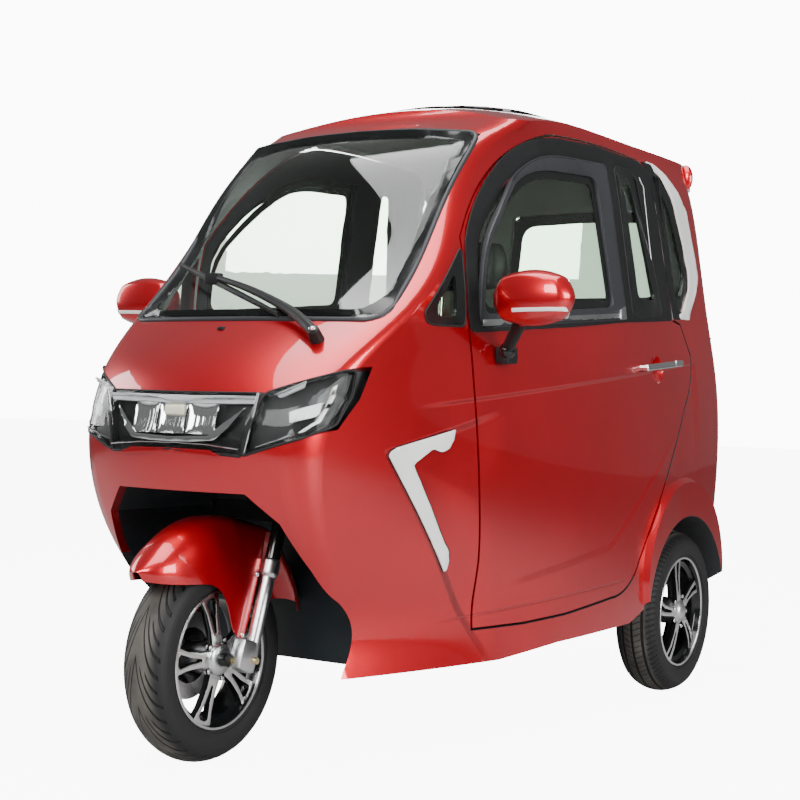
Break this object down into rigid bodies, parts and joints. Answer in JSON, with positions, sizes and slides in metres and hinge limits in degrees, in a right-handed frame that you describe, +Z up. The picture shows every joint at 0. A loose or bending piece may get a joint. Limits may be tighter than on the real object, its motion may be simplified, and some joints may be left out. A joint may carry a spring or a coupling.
{
  "type": "electric tricycle",
  "caption": "Enclosed electric tricycle with a closed red cabin, one steered spoked wheel in front, two driven wheels behind, and hinged side doors.",
  "frame": {"origin": "on the ground under the middle of the overall length and width", "axes": "+Z up, -Y forward, +X to the vehicle's left"},
  "size_m": [1.4, 2.3063, 1.6999],
  "materials": {
    "red_paint": "gloss metallic clear coat",
    "black_plastic": "matt moulded",
    "clear_glass": "tinted safety glass",
    "lamp_lens": "clear moulded lens over black and chrome",
    "tail_lens": "red moulded lens",
    "tyre_rubber": "moulded",
    "machined_rim": "machined on black",
    "black_rim": "machined on black",
    "bright_handle": "polished",
    "silver_leg": "satin",
    "black_steel": "satin black",
    "seat_cover": "soft grained cover",
    "battery_case": "moulded case"
  },
  "bodies": {
    "body": {"roof": "red_paint", "hood": "red_paint", "nose_panel": "red_paint", "front_side_left": "red_paint", "front_side_right": "red_paint", "rear_side_left": "red_paint", "rear_side_right": "red_paint", "tail_panel": "red_paint", "wheel_arch_liner": "black_plastic", "dashboard": "black_plastic", "floor_pan": "black_plastic", "windscreen": "clear_glass", "rear_window": "clear_glass", "quarter_glass_left": "clear_glass", "quarter_glass_right": "clear_glass", "rear_side_glass_left": "clear_glass", "rear_side_glass_right": "clear_glass", "centre_lamp": "lamp_lens", "corner_lamp_left": "lamp_lens", "corner_lamp_right": "lamp_lens", "tail_lamp_left": "tail_lens", "tail_lamp_right": "tail_lens", "chassis": "black_steel", "rear_axle": "black_steel", "driver_seat": "seat_cover", "rear_seat": "seat_cover", "battery": "battery_case"},
    "door_left": {"door_left": "red_paint", "door_glass_left": "clear_glass", "door_handle_left": "bright_handle", "mirror_left": "red_paint"},
    "door_right": {"door_right": "red_paint", "door_glass_right": "clear_glass", "door_handle_right": "bright_handle", "mirror_right": "red_paint"},
    "steering": {"fork_legs": "silver_leg", "fork_crown": "black_steel", "front_fender": "red_paint", "handlebar": "black_plastic"},
    "front_wheel": {"front_tyre": "tyre_rubber", "front_rim": "machined_rim"},
    "rear_wheel_left": {"rear_tyre_left": "tyre_rubber", "rear_rim_left": "black_rim"},
    "rear_wheel_right": {"rear_tyre_right": "tyre_rubber", "rear_rim_right": "black_rim"}
  },
  "joints": [
    {"name": "steering", "type": "hinge", "parent": "body", "child": "steering", "pos_m": [0, -0.8546, 0.2435], "axis": [0, 0.3256, 0.9455], "range_deg": [-35, 35]},
    {"name": "front_wheel_spin", "type": "hinge", "parent": "steering", "child": "front_wheel", "pos_m": [0, -0.9096, 0.2435], "axis": [1, 0, 0], "continuous": true},
    {"name": "rear_wheel_left_spin", "type": "hinge", "parent": "body", "child": "rear_wheel_left", "pos_m": [0.476, 0.7104, 0.2435], "axis": [1, 0, 0], "continuous": true},
    {"name": "rear_wheel_right_spin", "type": "hinge", "parent": "body", "child": "rear_wheel_right", "pos_m": [-0.476, 0.7104, 0.2435], "axis": [1, 0, 0], "continuous": true},
    {"name": "door_left_hinge", "type": "hinge", "parent": "body", "child": "door_left", "pos_m": [0.447, -0.4736, 0.8], "axis": [0, 0, -1], "range_deg": [0, 65]},
    {"name": "door_right_hinge", "type": "hinge", "parent": "body", "child": "door_right", "pos_m": [-0.447, -0.4736, 0.8], "axis": [0, 0, 1], "range_deg": [0, 65]}
  ]
}
